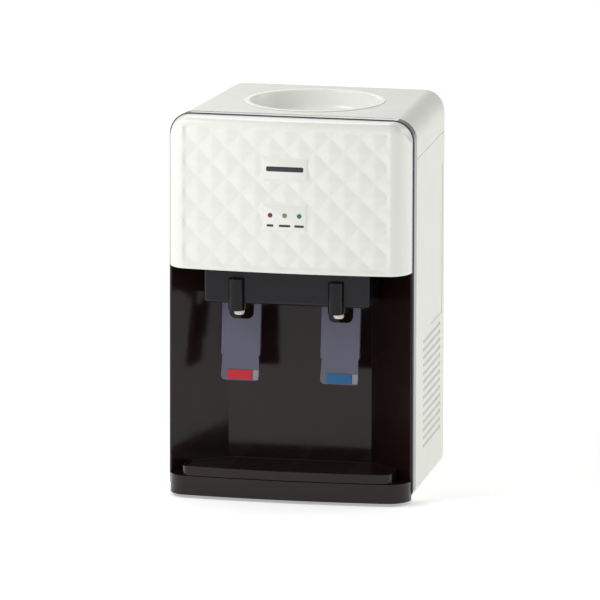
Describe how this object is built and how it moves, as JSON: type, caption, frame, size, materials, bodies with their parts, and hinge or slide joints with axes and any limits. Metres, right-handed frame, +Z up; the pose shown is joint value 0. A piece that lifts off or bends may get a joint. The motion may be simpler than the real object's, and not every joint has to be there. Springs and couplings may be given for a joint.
{
  "type": "countertop water dispenser",
  "caption": "Bottle-fed countertop hot and cold water dispenser with quilted white fascia, black dispensing bay, push levers and a removable drip tray.",
  "frame": {"origin": "middle of the whole dispenser on the surface its feet stand on", "axes": "+Z up, front faces -Y, +X to the right seen from the front"},
  "size_m": [0.31, 0.29, 0.48],
  "materials": {
    "casing_white": "satin moulded ABS",
    "fascia_white": "gloss moulded ABS with a quilted pattern",
    "bay_black": "high gloss black ABS",
    "housing_black": "semi-gloss blue-black ABS",
    "lever_smoke": "smoky translucent moulding",
    "trim_smoke": "dark smoked trim",
    "label_red": "gloss inlay",
    "label_blue": "gloss inlay",
    "lamp_red": "clear tinted lens",
    "lamp_amber": "clear tinted lens",
    "lamp_green": "clear tinted lens",
    "nozzle_white": "moulded food-grade plastic",
    "steel": "brushed stainless",
    "aluminium": "extruded",
    "rubber": "matt black",
    "fan_black": "moulded matt black",
    "silicone": "translucent silicone",
    "foam": "expanded polystyrene",
    "circuit_board": "coated board",
    "ceramic": "fired alumina faces",
    "rocker_red": "gloss",
    "rocker_green": "gloss"
  },
  "bodies": {
    "casing": {"base_pan": "casing_white", "side_panel_left": "casing_white", "side_panel_right": "casing_white", "top_cover": "casing_white", "rear_panel": "casing_white", "baffle_plate": "casing_white", "upper_fascia": "fascia_white", "badge_plate": "fascia_white", "indicator_plate": "fascia_white", "bay_shell": "bay_black", "hot_spout_cover": "bay_black", "cold_spout_cover": "bay_black", "hot_valve_body": "bay_black", "cold_valve_body": "bay_black", "tap_housing": "housing_black", "trim_band": "trim_smoke", "led_lens_hot": "lamp_red", "led_lens_power": "lamp_amber", "led_lens_cool": "lamp_green", "hot_nozzle": "nozzle_white", "cold_nozzle": "nozzle_white", "hot_pivot_pin": "steel", "cold_pivot_pin": "steel", "hot_valve_spring": "steel", "cold_valve_spring": "steel", "cold_tank": "steel", "hot_tank": "steel", "heating_element": "steel", "cold_block": "aluminium", "heat_sink": "aluminium", "foot_front_left": "rubber", "foot_front_right": "rubber", "foot_rear_left": "rubber", "foot_rear_right": "rubber", "reservoir_gasket": "rubber", "cord_bush": "rubber", "fan_frame": "fan_black", "fan_guard": "fan_black", "switch_bezel": "fan_black", "cold_hose": "silicone", "hot_hose": "silicone", "feed_hose": "silicone", "tank_insulation": "foam", "indicator_board": "circuit_board", "power_board": "circuit_board", "peltier_module": "ceramic"},
    "hot_lever_arm": {"hot_lever": "lever_smoke", "hot_lever_label": "label_red"},
    "cold_lever_arm": {"cold_lever": "lever_smoke", "cold_lever_label": "label_blue"},
    "hot_valve_plunger": {"hot_plunger": "bay_black"},
    "cold_valve_plunger": {"cold_plunger": "bay_black"},
    "tray": {"drip_tray": "bay_black"},
    "grille": {"drip_grille": "bay_black"},
    "receiver": {"bottle_receiver": "casing_white", "feed_spike": "casing_white"},
    "rotor": {"fan_rotor": "fan_black"},
    "hot_rocker": {"hot_switch_rocker": "rocker_red"},
    "cold_rocker": {"cold_switch_rocker": "rocker_green"},
    "cap": {"drain_cap": "casing_white"}
  },
  "joints": [
    {"name": "hot_lever_push", "type": "hinge", "parent": "casing", "child": "hot_lever_arm", "pos_m": [-0.063, -0.1, 0.2745], "axis": [1, 0, 0], "range_deg": [0, 10], "stiffness_Nm_per_rad": 0.9, "springref_deg": -2.86},
    {"name": "hot_plunger_press", "type": "slide", "parent": "casing", "child": "hot_valve_plunger", "axis": [0, 0, -1], "range_m": [0, 0.004], "stiffness_N_per_m": 60, "deforming": ["hot_valve_spring"]},
    {"name": "cold_lever_push", "type": "hinge", "parent": "casing", "child": "cold_lever_arm", "pos_m": [0.063, -0.1, 0.2745], "axis": [1, 0, 0], "range_deg": [0, 10], "stiffness_Nm_per_rad": 0.9, "springref_deg": -2.86},
    {"name": "cold_plunger_press", "type": "slide", "parent": "casing", "child": "cold_valve_plunger", "axis": [0, 0, -1], "range_m": [0, 0.004], "stiffness_N_per_m": 60, "deforming": ["cold_valve_spring"]},
    {"name": "tray_slide_out", "type": "slide", "parent": "casing", "child": "tray", "axis": [0, -1, 0], "range_m": [0, 0.085]},
    {"name": "grille_lift", "type": "slide", "parent": "tray", "child": "grille", "axis": [0, 0, 1], "range_m": [0, 0.05]},
    {"name": "receiver_lift", "type": "slide", "parent": "casing", "child": "receiver", "axis": [0, 0, 1], "range_m": [0, 0.09]},
    {"name": "fan_spin", "type": "hinge", "parent": "casing", "child": "rotor", "pos_m": [0, 0.1297, 0.35945], "axis": [0, 1, 0], "continuous": true},
    {"name": "hot_switch_rock", "type": "hinge", "parent": "casing", "child": "hot_rocker", "pos_m": [-0.084, 0.13905, 0.19], "axis": [1, 0, 0], "range_deg": [0, 12]},
    {"name": "cold_switch_rock", "type": "hinge", "parent": "casing", "child": "cold_rocker", "pos_m": [-0.066, 0.13905, 0.19], "axis": [1, 0, 0], "range_deg": [0, 12]},
    {"name": "drain_cap_off", "type": "slide", "parent": "casing", "child": "cap", "axis": [0, 1, 0], "range_m": [0, 0.02]}
  ],
  "couplings": [
    {"joint": "hot_plunger_press", "follows": "hot_lever_push", "m_per_rad": 0.0205},
    {"joint": "cold_plunger_press", "follows": "cold_lever_push", "m_per_rad": 0.0205}
  ]
}
